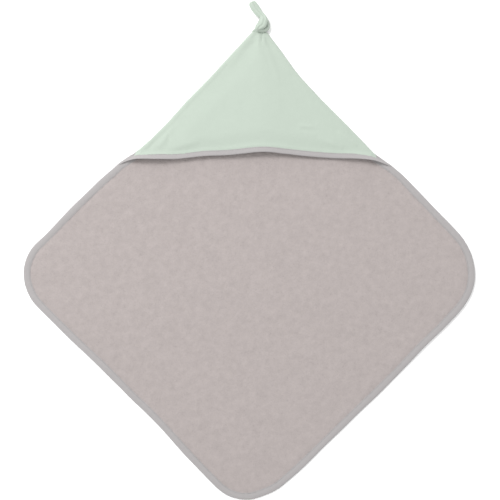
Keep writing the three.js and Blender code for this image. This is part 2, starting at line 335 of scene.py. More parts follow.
def filled(loop, spacing, seed, line=None, rows=None, fine=None):
    """A flat region inside a closed loop, evenly filled: its points, triangles and the loop's indices.

    line is a row of points across it that some of the triangles' edges follow, rows are more points
    inside it, and fine is the middle, reach and spacing of a part that is filled more closely.
    """
    rng = np.random.default_rng(seed)
    inner = grid(loop.min(0), loop.max(0), spacing, rng)
    fixed = loop if line is None else np.vstack([loop, line])
    more = []
    if fine is not None:
        middle, reach, close = fine
        inner = inner[np.linalg.norm(inner - middle, axis=1) > reach]
        near = grid(middle - reach, middle + reach, close, rng)
        near = near[np.linalg.norm(near - middle, axis=1) < reach - close / 2]
        more.append(near[distances(near, tree_of(fixed)) > CLEAR_OF_LINE * close])
    if rows is not None:
        rows = rows[distances(rows, tree_of(fixed)) > ROW_CLEAR_OF_LINE]
        inner = inner[distances(inner, tree_of(rows)) > CLEAR_OF_ROW * spacing]
        more.insert(0, rows)
    inner = inner[distances(inner, tree_of(fixed)) > CLEAR_OF_LINE * spacing]
    count = len(loop)
    edges = [(i, (i + 1) % count) for i in range(count)]
    edges += [(i, i + 1) for i in range(count, len(fixed) - 1)]
    vertices = [Vector(p) for p in np.vstack([fixed, inner, *more])]
    found, _, faces, sources, _, _ = delaunay_2d_cdt(vertices, edges, [], 1, 1e-8)
    faces = np.array(faces, int)
    used, faces = np.unique(faces, return_inverse=True)
    place = {source: new for new, old in enumerate(used) for source in sources[old]}
    points = np.array([found[old][:] for old in used])
    return points, faces.reshape(-1, 3), np.array([place[i] for i in range(count)])


def tube_faces(rings, around, closed_ends=True):
    """Faces of a tube of rings, one after another, each with the same number of points."""
    faces = []
    for i in range(rings - 1):
        for k in range(around):
            a, b = i * around + k, i * around + (k + 1) % around
            faces.append((a, b, b + around, a + around))
    if closed_ends:
        faces.append(tuple(range(around))[::-1])
        faces.append(tuple(range((rings - 1) * around, rings * around)))
    return faces


def stitch_shape():
    """One stitch along X, one long and one across in its own units: points and faces."""
    stations = [(-0.5, 0), (-0.45, 0.6), (-0.25, 1), (0.25, 1), (0.45, 0.6), (0.5, 0)]
    sides = 6
    arch = 1.6  # how steeply its ends dip into the cloth
    points = []
    for x, radius in stations:
        for k in range(sides):
            angle = 2 * np.pi * k / sides
            points.append((x, radius * np.cos(angle) / 2, radius * np.sin(angle) / 2 - arch * x * x))
    return np.array(points), tube_faces(len(stations), sides)


def stitches(centres, along, up):
    """Points and faces of a row of stitches."""
    shape, shape_faces = stitch_shape()
    side = np.cross(up, along)
    points = (centres[:, None] + along[:, None] * shape[None, :, :1] * STITCH_LONG
              + side[:, None] * shape[None, :, 1:2] * STITCH_THICK
              + up[:, None] * shape[None, :, 2:] * STITCH_THICK)
    faces = [[corner + len(shape) * i for corner in face]
             for i in range(len(centres)) for face in shape_faces]
    return points.reshape(-1, 3), faces


# ==== Materials ====


class Nodes:
    """A new material and short ways to add nodes to it."""

    def __init__(self, name):
        self.material = bpy.data.materials.new(name)
        self.material.use_nodes = True
        self.tree = self.material.node_tree
        self.shader = self.tree.nodes["Principled BSDF"]

    def add(self, kind, inputs=None, **settings):
        node = self.tree.nodes.new(kind)
        for key, value in settings.items():
            setattr(node, key, value)
        for key, value in (inputs or {}).items():
            if isinstance(value, bpy.types.NodeSocket):
                self.tree.links.new(value, node.inputs[key])
            else:
                node.inputs[key].default_value = value
        return node

    def noise(self, place, scale, detail, roughness):
        return self.add("ShaderNodeTexNoise", {
            "Vector": place, "Scale": scale, "Detail": detail, "Roughness": roughness}).outputs["Fac"]

    def math(self, operation, a, b):
        return self.add("ShaderNodeMath", {0: a, 1: b}, operation=operation).outputs[0]

    def mix(self, factor, dark, light):
        """A colour between two, both given in linear light."""
        ends = {"Factor": factor, "A": (*dark, 1), "B": (*light, 1)}
        return self.add("ShaderNodeMix", ends, data_type="RGBA").outputs["Result"]

    def bump(self, height, distance, strength, under=None):
        inputs = {"Height": height, "Distance": distance, "Strength": strength}
        if under is not None:
            inputs["Normal"] = under
        return self.add("ShaderNodeBump", inputs).outputs["Normal"]

    def finish(self, colour, normal, roughness, sheen):
        self.tree.links.new(colour, self.shader.inputs["Base Color"])
        self.tree.links.new(normal, self.shader.inputs["Normal"])
        self.shader.inputs["Roughness"].default_value = roughness
        self.shader.inputs["Specular IOR Level"].default_value = 0.2
        self.shader.inputs["Sheen Weight"].default_value = sheen
        self.shader.inputs["Sheen Roughness"].default_value = 0.6
        return self.material


def shades(colour, spread):
    """A darker and a lighter shade either side of a colour."""
    colour = np.array(colour)
    return tuple(colour * (1 - spread)), tuple(colour * (1 + spread))


# Colours in linear light
TERRY_COLOUR = (0.360, 0.319, 0.310)
TAPE_COLOUR = (0.327, 0.312, 0.312)
MUSLIN_COLOUR = (0.387, 0.446, 0.387)
THREAD_COLOUR = (0.235, 0.227, 0.224)
# The terry's pattern, in repeats to the metre
TERRY_PATCHES = 70
TERRY_LOOPS = 620
TERRY_FIBRES = 1300
TERRY_FLECKS = 260
FLECK_SHARE = 0.63  # of the noise, above which it is a fleck


def terry_material():
    """Cotton loops, with painted shade in the small hollows between them, and broad patches where they
    lean, painted lighter and darker for how light catches the leaning loops.
    """
    n = Nodes("terry_loops")
    place = n.add("ShaderNodeTexCoord").outputs["Object"]
    patches = n.noise(place, TERRY_PATCHES, 5, 0.65)
    loops = n.add("ShaderNodeTexVoronoi", {"Vector": place, "Scale": TERRY_LOOPS}).outputs["Distance"]
    fibres = n.noise(place, TERRY_FIBRES, 3, 0.7)
    flecks = n.math("GREATER_THAN", n.noise(place, TERRY_FLECKS, 2, 0.6), FLECK_SHARE)
    # Painted light and shade: the broad patches where the loops lean are painted lighter and darker
    tone = n.math("ADD", n.math("MULTIPLY", patches, 0.75), n.math("MULTIPLY", fibres, 0.25))
    tone = n.math("SUBTRACT", tone, n.math("MULTIPLY", flecks, 0.16))
    # Painted shade: the colour is darker in the hollows between the loops
    tone = n.math("SUBTRACT", tone, n.math("MULTIPLY", loops, 0.25))
    colour = n.mix(tone, *shades(TERRY_COLOUR, 0.2))
    coarse = n.bump(patches, 1.2 * MM, 0.35)
    normal = n.bump(n.math("MULTIPLY", loops, -1.0), 1.1 * MM, 0.6, coarse)
    return n.finish(colour, normal, 0.95, 0.35)


def woven_material(name, colour, period, spread, sheen, crinkle):
    """Plain weave: warp and weft ribs along the flat cloth, some uneven yarn, and soft crinkles."""
    n = Nodes(name)
    place = n.add("ShaderNodeUVMap", uv_map="cloth").outputs["UV"]
    # The wave texture turns through 20 radians in a unit at a scale of 1
    ribs = {"Vector": place, "Scale": 2 * np.pi / (20 * period), "Distortion": 0.6, "Detail": 1.0}
    warp, weft = (n.add("ShaderNodeTexWave", ribs, bands_direction=way).outputs["Fac"]
                  for way in ("X", "Y"))
    weave = n.math("MULTIPLY", warp, weft)
    yarn = n.noise(place, 0.35 / period, 3, 0.6)
    wear = n.noise(place, 28, 3, 0.6)
    tone = n.math("ADD", n.math("MULTIPLY", yarn, 0.5), n.math("MULTIPLY", wear, 0.5))
    pattern = n.mix(tone, *shades(colour, spread))
    folds = n.bump(n.noise(place, crinkle, 3, 0.55), 1.2 * MM, 0.22)
    normal = n.bump(weave, 0.25 * MM, 0.5, folds)
    return n.finish(pattern, normal, 0.85, sheen)


TERRY = terry_material()
TAPE = woven_material("tape_weave", TAPE_COLOUR, 0.7 * MM, 0.07, 0.15, 180)
MUSLIN = woven_material("muslin_weave", MUSLIN_COLOUR, 0.9 * MM, 0.04, 0.2, 90)
THREAD = woven_material("thread_twist", THREAD_COLOUR, 0.4 * MM, 0.08, 0.1, 300)

# ==== Camera, light and floor ====

CAMERA_LENS = 85.0
VIEW_WIDTH = 1.1415  # of the floor, across the picture
VIEW_CENTRE = (-0.0023, 0.053)
KEY_LIGHT_AT = (-1.7, 2.1, 3.0)
KEY_LIGHT_SIZE = 1.6
KEY_LIGHT_POWER = 107
SKY_STRENGTH = 1.05
FLOOR_REACH = 5
FLOOR_DROP = 0.3 * MM  # below the towel, so that the two never meet


def camera_and_light():
    camera = bpy.data.objects.new("camera", bpy.data.cameras.new("camera"))
    camera.data.lens = CAMERA_LENS
    height = VIEW_WIDTH * CAMERA_LENS / camera.data.sensor_width
    camera.location = (*VIEW_CENTRE, height)
    bpy.context.scene.collection.objects.link(camera)
    bpy.context.scene.camera = camera

    key = bpy.data.objects.new("key_light", bpy.data.lights.new("key_light", "AREA"))
    key.data.shape = "DISK"
    key.data.size = KEY_LIGHT_SIZE
    key.data.energy = KEY_LIGHT_POWER
    key.location = KEY_LIGHT_AT
    key.rotation_euler = (-key.location).to_track_quat("-Z", "Y").to_euler()
    bpy.context.scene.collection.objects.link(key)

    world = bpy.data.worlds.new("studio")
    world.use_nodes = True
    sky = world.node_tree.nodes["Background"]
    sky.inputs["Color"].default_value = (1, 1, 1, 1)
    sky.inputs["Strength"].default_value = SKY_STRENGTH
    bpy.context.scene.world = world
    bpy.context.scene.view_settings.view_transform = "Standard"


def floor():
    mesh = bpy.data.meshes.new("floor")
    corners = [(x * FLOOR_REACH, y * FLOOR_REACH, -FLOOR_DROP)
               for x, y in ((-1, -1), (1, -1), (1, 1), (-1, 1))]
    mesh.from_pydata(corners, [], [(0, 1, 2, 3)])
    n = Nodes("studio_floor")
    n.shader.inputs["Base Color"].default_value = (0.93, 0.93, 0.93, 1)
    n.shader.inputs["Roughness"].default_value = 0.9
    mesh.materials.append(n.material)
    made = bpy.data.objects.new("floor", mesh)
    bpy.context.scene.collection.objects.link(made)


camera_and_light()
floor()

# ==== Terry panel ====

TERRY_STEP = 3.6 * MM
UNDERSIDE_STEP = 2.2 * TERRY_STEP
TERRY_EDGE_IN_TAPE = 3.5 * MM
TERRY_SEAM_TURN = 1.2 * MM
TERRY_AT_SEAM = 2.8 * MM  # its top where it turns into the hood's seams
# Tufts and dips in the loops: height, size and seed, millimetres
LOOP_HILLS = [(0.3, 6.5, 11), (0.22, 3.8, 12), (0.25, 16, 13)]
LOOP_SCATTER = 0.16 * MM


def towel_loop(bound_inset, seam_inset, step):
    """The towel's closed outline, drawn in from its bound edge and from the hood's seams."""
    edge, inward = bound_edge(step)
    along = length_along(edge)
    from_end = np.minimum(along, along[-1] - along)
    bound_inset = seam_inset + (bound_inset - seam_inset) * smoothstep(0, 12 * MM, from_end)[1:-1, None]
    right = seam_right(step, seam_inset)
    left = seam_left(step, seam_inset)
    top = spaced(np.array([right[-1], left[0]]), step)[1:-1]
    return np.vstack([edge[1:-1] + inward[1:-1] * bound_inset, right[1:], top, left[:-1]])


def terry_top(points):
    """Height of the loops' tips over the table."""
    edge = distances(points, EDGE_TREE)
    seam = distances(points, SEAM_TREE)
    thick = TERRY_PRESSED + (TERRY_THICK - TERRY_PRESSED) * smoothstep(15 * MM, 24 * MM, edge)
    thick += 0.35 * MM * ridge(edge, 30 * MM, 12 * MM)  # it puffs up beside the tape
    thick = TERRY_AT_SEAM + (thick - TERRY_AT_SEAM) * smoothstep(0, 9 * MM, seam)
    loops = uneven(points, LOOP_HILLS)
    loops += np.random.default_rng(14).normal(0, LOOP_SCATTER, len(points))
    return lie_of_towel(points) + thick + loops * smoothstep(2 * MM, 18 * MM, edge)


def terry_underside(points):
    """Height of its underside, which is tucked up where the tape's lower leaf lies under it."""
    edge = distances(points, EDGE_TREE)
    tucked = 1.0 * MM * (1 - smoothstep(14 * MM, 17 * MM, edge))
    return lie_of_towel(points) + tucked + 0.12 * MM * (1 + hills(points, 9 * MM, 15))


def terry_panel():
    """The looped cloth: its upper side and its underside, joined round the edge."""
    loop = towel_loop(TERRY_EDGE_IN_TAPE, TERRY_SEAM_TURN, TERRY_STEP)
    top, top_faces, top_rim = filled(loop, TERRY_STEP, 21)
    under, under_faces, under_rim = filled(loop, UNDERSIDE_STEP, 22)
    points = np.vstack([
        np.column_stack([top, terry_top(top)]),
        np.column_stack([under, terry_underside(under)]),
    ])
    faces = top_faces.tolist()
    faces += (under_faces[:, ::-1] + len(top)).tolist()
    under_rim = under_rim + len(top)
    for i in range(len(loop)):
        j = (i + 1) % len(loop)
        faces.append((top_rim[j], top_rim[i], under_rim[i], under_rim[j]))
    made = piece("terry_cloth", points, faces, TERRY)
    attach(made, "towel")
    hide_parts("terry_panel")
    return made


# ==== Tape folded over an edge ====

# Half sections of the folded tape, from its upper inner edge over the fold to its lower inner edge:
# share of the width from the fold, and height in millimetres. The stitching makes the upper dip.
TAPE_OUTER = [
    (1.0, 3.3), (0.99, 3.7), (0.93, 3.9), (0.865, 3.65), (0.8, 4.05), (0.62, 4.5), (0.4, 4.6),
    (0.2, 4.3), (0.08, 3.6), (0.02, 2.8), (0.0, 2.1), (0.02, 1.3), (0.08, 0.6), (0.2, 0.15),
    (0.5, 0.02), (1.0, 0.02),
]
TAPE_INNER = [(1.0, 0.7), (0.5, 0.7), (0.14, 1.2), (0.08, 2.1), (0.16, 3.2), (0.5, 3.5)]
# The same for the hood's tape, its heights from the underside of the hood's cloth
HOOD_TAPE_OUTER = [
    (1.0, 1.05), (0.99, 1.4), (0.93, 1.5), (0.865, 1.35), (0.8, 1.75), (0.62, 2.2), (0.4, 2.6),
    (0.2, 2.65), (0.07, 2.1), (0.015, 1.2), (0.0, 0.3), (0.02, -0.6), (0.08, -1.1), (0.2, -1.4),
    (0.5, -1.5), (1.0, -1.5),
]
HOOD_TAPE_INNER = [(1.0, -0.9), (0.5, -0.9), (0.14, -0.5), (0.08, 0.2), (0.16, 1.0), (0.5, 1.2)]
UPPER_POINTS = 9  # the points of a section that lie on its upper leaf
OUTERMOST_POINT = 10
STITCH_SHARE = 0.865  # of a tape's width, from its fold to its stitching
STITCH_PITCH = 3.3 * MM
STITCH_LONG = 2.8 * MM
STITCH_THICK = 0.55 * MM
STITCH_ON_TOP = 3.8 * MM
STITCH_UNDERNEATH = 0.28 * MM
STITCHES_LEFT_OUT = 3  # at each end of the towel's tape
# Ripples across the tape: how many, their heights, the shortest and longest, and the shares of the
# tape's width at which they lie and over which they reach
PUCKER_COUNT = 9
PUCKER_HIGH = 0.22 * MM
HOOD_PUCKER_HIGH = 0.14 * MM
PUCKER_LENGTHS = (7 * MM, 19 * MM)
PUCKER_MIDDLE = 0.62
PUCKER_REACH = 0.42
TAPE_WOBBLE = [(0.35, 19, 0), (0.3, 43, 1)]  # size, length and phase of its uneven fold, millimetres


def tape_section(outer, inner, width):
    """The places across and the heights of a tape's section."""
    section = np.array(outer + inner)
    return section[:, 0] * width, section[:, 1] * MM


def puckered(height, share, along, amount, seed):
    """A section's heights all along a tape, with the ripples its stitching gathers in the upper leaf."""
    rng = np.random.default_rng(seed)
    ripple = np.zeros_like(along)
    for _ in range(PUCKER_COUNT):
        wave = rng.uniform(*PUCKER_LENGTHS)
        ripple += np.sin(2 * np.pi * along / wave + rng.uniform(*ANY_PHASE)) / 3
    shape = np.clip(1 - ((share - PUCKER_MIDDLE) / PUCKER_REACH) ** 2, 0, 1)
    shape[UPPER_POINTS:] = 0
    return height[None, :] + amount * ripple[:, None] * shape[None, :]


def flat_tape(along, across, height):
    """The place of each point on the tape laid flat."""
    around = length_along(np.column_stack([across, height]))
    return np.stack(np.broadcast_arrays(along[:, None], around[None, :]), axis=2).reshape(-1, 2)


def perimeter_tape():
    """The tape folded over the towel's edge, from one corner of the hood round to the other."""
    line, inward = bound_edge(3 * MM)
    along = length_along(line)
    across, height = tape_section(TAPE_OUTER, TAPE_INNER, TAPE_WIDTH)
    share = across / TAPE_WIDTH
    wobble = sum(far * MM * np.sin(along / (wave * MM) + phase) for far, wave, phase in TAPE_WOBBLE)
    inset = across[None, :] + wobble[:, None] * (1 - share[None, :])
    flat = (line[:, None] + inward[:, None] * inset[..., None]).reshape(-1, 2)
    rise = puckered(height, share, along, PUCKER_HIGH, 31).ravel() + lie_of_towel(flat)
    faces = tube_faces(len(line), len(across))
    made = piece("edge_tape", np.column_stack([flat, rise]), faces, TAPE,
                 flat_tape(along, across, height))
    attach(made, "towel")
    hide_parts("perimeter_binding")
    return made


def perimeter_stitches():
    """The lockstitch that holds the tape, seen on both faces."""
    line, inward = bound_edge(STITCH_PITCH)
    line, inward = (row[STITCHES_LEFT_OUT:-STITCHES_LEFT_OUT] for row in (line, inward))
    flat = line + inward * TAPE_WIDTH * STITCH_SHARE
    lie = lie_of_towel(flat)
    along = np.column_stack([-left_of(inward), np.zeros(len(line))])
    up = np.tile([0.0, 0.0, 1.0], (len(line), 1))
    top, top_faces = stitches(np.column_stack([flat, lie + STITCH_ON_TOP]), along, up)
    under, under_faces = stitches(np.column_stack([flat, lie + STITCH_UNDERNEATH]), along, -up)
    points = np.vstack([top, under])
    faces = top_faces + [[corner + len(top) for corner in face] for face in under_faces]
    made = piece("edge_stitches", points, faces, THREAD, points[:, :2])
    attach(made, "towel")
    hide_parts("perimeter_thread")
    return made


# ==== Hood: straight lines of cloth from its tip to its lifted front edge ====

HOOD_STEP = 2.8 * MM
HOOD_IN_TAPE = 2.5 * MM  # how far its cloth stops short of its tape's fold
ROWS_BY_SEAM = (0.7, 1.7, 3.0, 4.6)  # millimetres in from the seams, to follow their round edge
PLEATED = (np.array([19, 541]) * MM, 22 * MM, 1.3 * MM)  # middle, reach and step of a finer part
FRONT_CURVE, FRONT_SHARE = smooth_curve(np.column_stack([HOOD_FRONT, FRONT_LIP]), 400)


def bearing(points):
    """The direction from the hood's tip to each point, from left to right."""
    return np.arctan2(points[:, 0] - TIP[0], TIP[1] - points[:, 1])


FRONT_BEARING = bearing(FRONT_CURVE)
FRONT_REACH = np.hypot(FRONT_CURVE[:, 0] - TIP[0], FRONT_CURVE[:, 1] - TIP[1])
LEFT_SEAM = unit(SEAM_END_LEFT - TIP)
RIGHT_SEAM = unit(SEAM_END_RIGHT - TIP)
MIDDLE = unit(LEFT_SEAM + RIGHT_SEAM)
MIDDLE_BEARING = np.arctan2(MIDDLE[0], -MIDDLE[1])
MIDDLE_SHARE = np.interp(MIDDLE_BEARING, FRONT_BEARING, FRONT_SHARE)


def lip(rise, behind):
    """What the turned front edge adds, at a distance behind its fold."""
    return rise * np.clip(1 - behind / LIP_DEPTH, 0, 1) ** 2


def hood_height(points):
    """The hood's underside over the table, without its folds, and how far behind its front it is."""
    way = bearing(points)
    front = np.interp(way, FRONT_BEARING, FRONT_CURVE[:, 2])
    reach = np.interp(way, FRONT_BEARING, FRONT_REACH)
    from_tip = np.hypot(points[:, 0] - TIP[0], points[:, 1] - TIP[1])
    behind = reach - from_tip
    rise = np.interp(way, FRONT_BEARING, FRONT_CURVE[:, 3])
    return HOOD_BASE_Z + front * from_tip / reach + lip(rise, behind), behind


def crease(points, start, end, width):
    """1 along the middle of a fold between two points, falling away to its sides and its ends."""
    start, end = np.array(start) * MM, np.array(end) * MM
    way = end - start
    t = ((points - start) @ way) / (way @ way)
    off = np.linalg.norm(points - start - np.clip(t, 0, 1)[:, None] * way, axis=1)
    taper = np.clip(1 - (2 * t - 1) ** 2, 0, 1) ** 0.5
    return ridge(off, 0, width * MM) * taper


HOOD_HILLS = [(0.35, 34, 41), (0.18, 13, 42), (0.09, 6, 43)]  # height, size and seed, millimetres
# Folds that lie in the hood: start, end, width and height, millimetres
HOOD_FOLDS = [
    ((-212, 284), (-176, 334), 6, 1.9),
    ((-196, 278), (-120, 300), 8, 1.6),
    ((-236, 278), (-204, 322), 5, -1.2),
    ((-190, 285), (-186, 325), 4, -1.0),
    ((242, 290), (196, 322), 6, 1.8),
    ((210, 284), (150, 306), 8, 1.5),
    ((256, 286), (222, 322), 4, -1.1),
    ((150, 332), (104, 336), 4, 0.9),
    ((150, 322), (112, 326), 4, -0.7),
    ((-52, 470), (2, 534), 6, 1.2),
    ((92, 452), (44, 530), 6, 1.2),
    ((-22, 502), (14, 530), 7, -1.3),
    ((66, 430), (31, 532), 6, 0.9),
    ((50, 508), (34, 534), 5, -1.0),
    ((24.5, 527), (24.2, 553), 2.0, -1.5),
    ((15.5, 513), (16.8, 545), 3.5, 1.0),
    ((31.5, 514), (29, 547), 3.5, 1.1),
]


SETTLING_FRAMES = 25
MOST_SETTLING = 5 * MM
CLOTH_GAP = 0.6 * MM


def simulated(points, faces, held):
    """The hood's cloth cut a little full, held along its edges, and let settle over the terry."""
    mesh = bpy.data.meshes.new("settling")
    mesh.from_pydata(points.tolist(), [], faces.tolist())
    cloth = bpy.data.objects.new("settling", mesh)
    bpy.context.scene.collection.objects.link(cloth)
    cloth.vertex_groups.new(name="held").add(np.flatnonzero(held).tolist(), 1.0, "REPLACE")
    fall = cloth.modifiers.new("fall", "CLOTH")
    fall.settings.quality = 7
    fall.settings.mass = 0.02
    fall.settings.tension_stiffness = 12
    fall.settings.compression_stiffness = 12
    fall.settings.shear_stiffness = 4
    fall.settings.bending_stiffness = 0.25
    fall.settings.vertex_group_mass = "held"
    fall.settings.shrink_min = -0.012
    fall.settings.effector_weights.gravity = 0.25
    fall.collision_settings.distance_min = CLOTH_GAP
    under_mesh = bpy.data.meshes.new("under")
    corners = [(x, y, TERRY_THICK + CLOTH_GAP)
               for x, y in ((-0.5, 0.1), (0.5, 0.1), (0.5, 0.7), (-0.5, 0.7))]
    under_mesh.from_pydata(corners, [], [(0, 1, 2, 3)])
    under = bpy.data.objects.new("under", under_mesh)
    bpy.context.scene.collection.objects.link(under)
    under.modifiers.new("stop", "COLLISION")
    for number in range(1, SETTLING_FRAMES + 1):
        bpy.context.scene.frame_set(number)
    settled = cloth.evaluated_get(bpy.context.evaluated_depsgraph_get()).data
    moved = np.zeros(len(points) * 3, np.float32)
    settled.vertices.foreach_get("co", moved)
    moved = moved.reshape(-1, 3).astype(float) - points
    bpy.data.objects.remove(cloth)
    bpy.data.objects.remove(under)
    bpy.context.scene.frame_set(1)
    size = np.linalg.norm(moved, axis=1, keepdims=True)
    return points + moved * np.minimum(1, MOST_SETTLING / np.maximum(size, 1e-9))


def hood_loop(step):
    """The hood's outline on the flat, and its middle line from the top to the front."""
    front = FRONT_CURVE[:, :2] + unit(TIP - FRONT_CURVE[:, :2]) * HOOD_IN_TAPE
    front = spaced(front[depth_in_towel(front)[0] > 7 * MM], step)
    right, left = seam_right(step), seam_left(step)
    nearest = np.abs(bearing(front) - MIDDLE_BEARING).argmin()
    front[nearest] = TIP + MIDDLE * np.linalg.norm(front[nearest] - TIP)
    top_middle = TIP + MIDDLE * (TOP_Y - TIP[1]) / MIDDLE[1]
    top = np.vstack([spaced(np.array([right[-1], top_middle]), step)[1:],
                     spaced(np.array([top_middle, left[0]]), step)[1:-1]])
    # The last stretch of each side runs down to the front's end inside the towel's bound edge
    edge, inward = bound_edge(step)
    low_sides = []
    for side, end, seam_end in ((1, front[-1], SEAM_END_RIGHT), (-1, front[0], SEAM_END_LEFT)):
        there = (edge[:, 0] * side > 0) & (edge[:, 1] > end[1]) & (edge[:, 1] < seam_end[1])
        inset = np.interp(seam_end[1] - edge[there, 1], [0, 5 * MM], [0.5 * MM, 6 * MM])
        low_sides.append((edge[there] + inward[there] * inset[:, None])[1:-1])
    loop = np.vstack([front, low_sides[0], right, top, left, low_sides[1]])
    middle = spaced(np.array([top_middle, front[nearest]]), step)[1:-1]
    return loop, middle


def hood_surface():
    """The hood's upper surface: its points and triangles, the points' places on the flat cloth, and
    which triangles are in its left half."""
    loop, middle = hood_loop(HOOD_STEP)
    rows = np.vstack([side(HOOD_STEP, inset * MM)[1:-1] for side in (seam_left, seam_right)
                      for inset in ROWS_BY_SEAM])
    flat, faces, rim = filled(loop, HOOD_STEP, 23, middle, rows, PLEATED)
    height, behind = hood_height(flat)
    points = np.column_stack([flat, height])
    from_tape = behind - HOOD_TAPE_WIDTH
    from_seam = distances(flat, SEAM_TREE)
    held = (from_tape < 2 * MM) | (from_seam < 4 * MM)
    held[rim] = True
    # The tape and the seams hold the cloth down for a little way beyond them
    free = smoothstep(0, 45 * MM, from_tape) * smoothstep(5 * MM, 60 * MM, from_seam)
    points += free[:, None] * (simulated(points, faces, held) - points)
    height, behind = hood_height(points)
    points = on_hood(points[:, :2], points[:, 2] + hood_folds(points[:, :2], behind) - height)
    centre = flat[faces].mean(axis=1) - TIP
    return points, faces, flat, MIDDLE[0] * centre[:, 1] - MIDDLE[1] * centre[:, 0] < 0


UPPER_LEAF = np.array(TAPE_OUTER[OUTERMOST_POINT::-1])
HOOD_TAPE_LOW = 1.5 * MM  # how far the hood's tape reaches below the hood's cloth
TAPE_GAP = 0.15 * MM  # between the towel's tape and the hood's
ROUND_OFF = 4.5 * MM  # how far in from a closed seam the hood's cloth rounds over
SQUASHED = 0.45  # share of their thickness that the hood's layers keep at the towel's bound edge


def below_hood(edge):
    """Height of what the hood's tape lies on, at a distance inside the towel's bound edge."""
    tape = np.interp(edge / TAPE_WIDTH, *UPPER_LEAF.T) * MM + TAPE_GAP
    return tape + (HOOD_BASE_Z - HOOD_TAPE_LOW - tape) * smoothstep(12 * MM, 20 * MM, edge)


def on_hood(flat, rise):
    """Places on the hood at heights above its cloth's underside. The hood comes down to the towel's
    tape at the bound edge, and round to the closed seam along its other sides."""
    lift = hood_height(flat)[0] - HOOD_BASE_Z
    seam, edge = distances(flat, SEAM_TREE), distances(flat, EDGE_TREE)
    away = smoothstep(0, 12 * MM, edge)
    layers = (rise + HOOD_TAPE_LOW) * (SQUASHED + (1 - SQUASHED) * away)
    height = below_hood(edge) + lift * away + layers
    by_seam = smoothstep(-4 * MM, 6 * MM, edge - seam)
    low = below_hood(edge) * (1 - by_seam) + SEAM_LOW * by_seam
    # Half a step is what the seam's tree may miss by, right at the seam
    in_from_seam = np.clip((seam - SEAM_STEP / 2) / ROUND_OFF, 0, 1)
    round_off = np.sqrt(1 - (1 - in_from_seam) ** 2)
    height = low + (height - low) * (1 - by_seam * (1 - round_off))
    return np.column_stack([flat, height + lie_of_towel(flat)])


ALLOWANCE_RISE = 0.8 * MM
SEAM_PROP = 1.0 * MM
TAPE_RIDGE = 0.8 * MM
EASED_FROM_TAPE = 3.5 * MM


def hood_folds(points, behind):
    """What the seam allowances, the stitching's pull and the cloth's own folds add."""
    seam = distances(points, SEAM_TREE)
    rise = ALLOWANCE_RISE * (1 - smoothstep(HOOD_ALLOWANCE - 2.5 * MM, HOOD_ALLOWANCE + 2 * MM, seam))
    # The thick turned seams prop the cloth up beside them, less so by the gathered tip
    from_tip = np.linalg.norm(points - TIP, axis=1)
    by_seam = 1 - smoothstep(5 * MM, 36 * MM, seam)
    rise += SEAM_PROP * by_seam * smoothstep(40 * MM, 110 * MM, from_tip)
    rise += TAPE_RIDGE * ridge(behind, HOOD_TAPE_WIDTH + EASED_FROM_TAPE, 4.5 * MM)
    for start, end, width, tall in HOOD_FOLDS:
        rise += tall * MM * crease(points, start, end, width)
    rise += smoothstep(0, 14 * MM, seam) * uneven(points, HOOD_HILLS)
    # The tape holds the cloth flat
    free = smoothstep(HOOD_TAPE_WIDTH, HOOD_TAPE_WIDTH + EASED_FROM_TAPE, behind)
    return rise * free + HOOD_THICK


def blend_to_front(made):
    """Bakes the piece's placement into its mesh."""
    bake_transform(made)


def hood_halves():
    """The hood's cloth with its two faces, cut in two down its middle."""
    points, faces, flat, is_left = hood_surface()
    normals = point_normals(points, faces)
    halves = []
    for name, keep in (("hood_left", is_left), ("hood_right", ~is_left)):
        used, top = np.unique(faces[keep], return_inverse=True)
        top = top.reshape(-1, 3)
        count = len(used)
        edges = {(a, b) for f in top.tolist() for a, b in zip(f, f[1:] + f[:1])}
        rim = sorted((a, b) for a, b in edges if (b, a) not in edges)
        walls = [(b, a, a + count, b + count) for a, b in rim]
        both = np.vstack([points[used], points[used] - normals[used] * HOOD_THICK])
        both_faces = top.tolist() + (top[:, ::-1] + count).tolist() + walls
        made = piece(name, both, both_faces, MUSLIN, np.vstack([flat[used]] * 2),
                     np.vstack([normals[used], -normals[used]]), len(walls))
        blend_to_front(made)
        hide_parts("hood_panel")
        halves.append(made)
    return halves


JUST_INSIDE = 0.4 * MM


def drawn_in(flat):
    """The same places, those beyond the towel's bound edge drawn in to just inside it."""
    depth, inward = depth_in_towel(flat)
    return flat + inward * np.clip(JUST_INSIDE - depth, 0, None)[:, None]


def front_fold(shares):
    """Points of the hood's front fold on the flat, and the direction back from it at each."""
    at = np.stack([np.interp(shares, FRONT_SHARE, FRONT_CURVE[:, k]) for k in range(2)], axis=1)
    return at, left_of(unit(np.gradient(at, axis=0)))


FRONT_STEPS = 460
FRONT_ENDS = FRONT_SHARE[depth_in_towel(FRONT_CURVE)[0] > 1 * MM][[0, -1]]
FRONT_LENGTH = length_along(FRONT_CURVE)[-1]
END_PRESSED = 2.6 * MM  # how far the hood's tape is pressed down where its ends are sewn in
STITCHES_SHORT = 0.05  # share of the front at each end that its stitches leave free
STITCH_ON_HOOD = 1.6 * MM


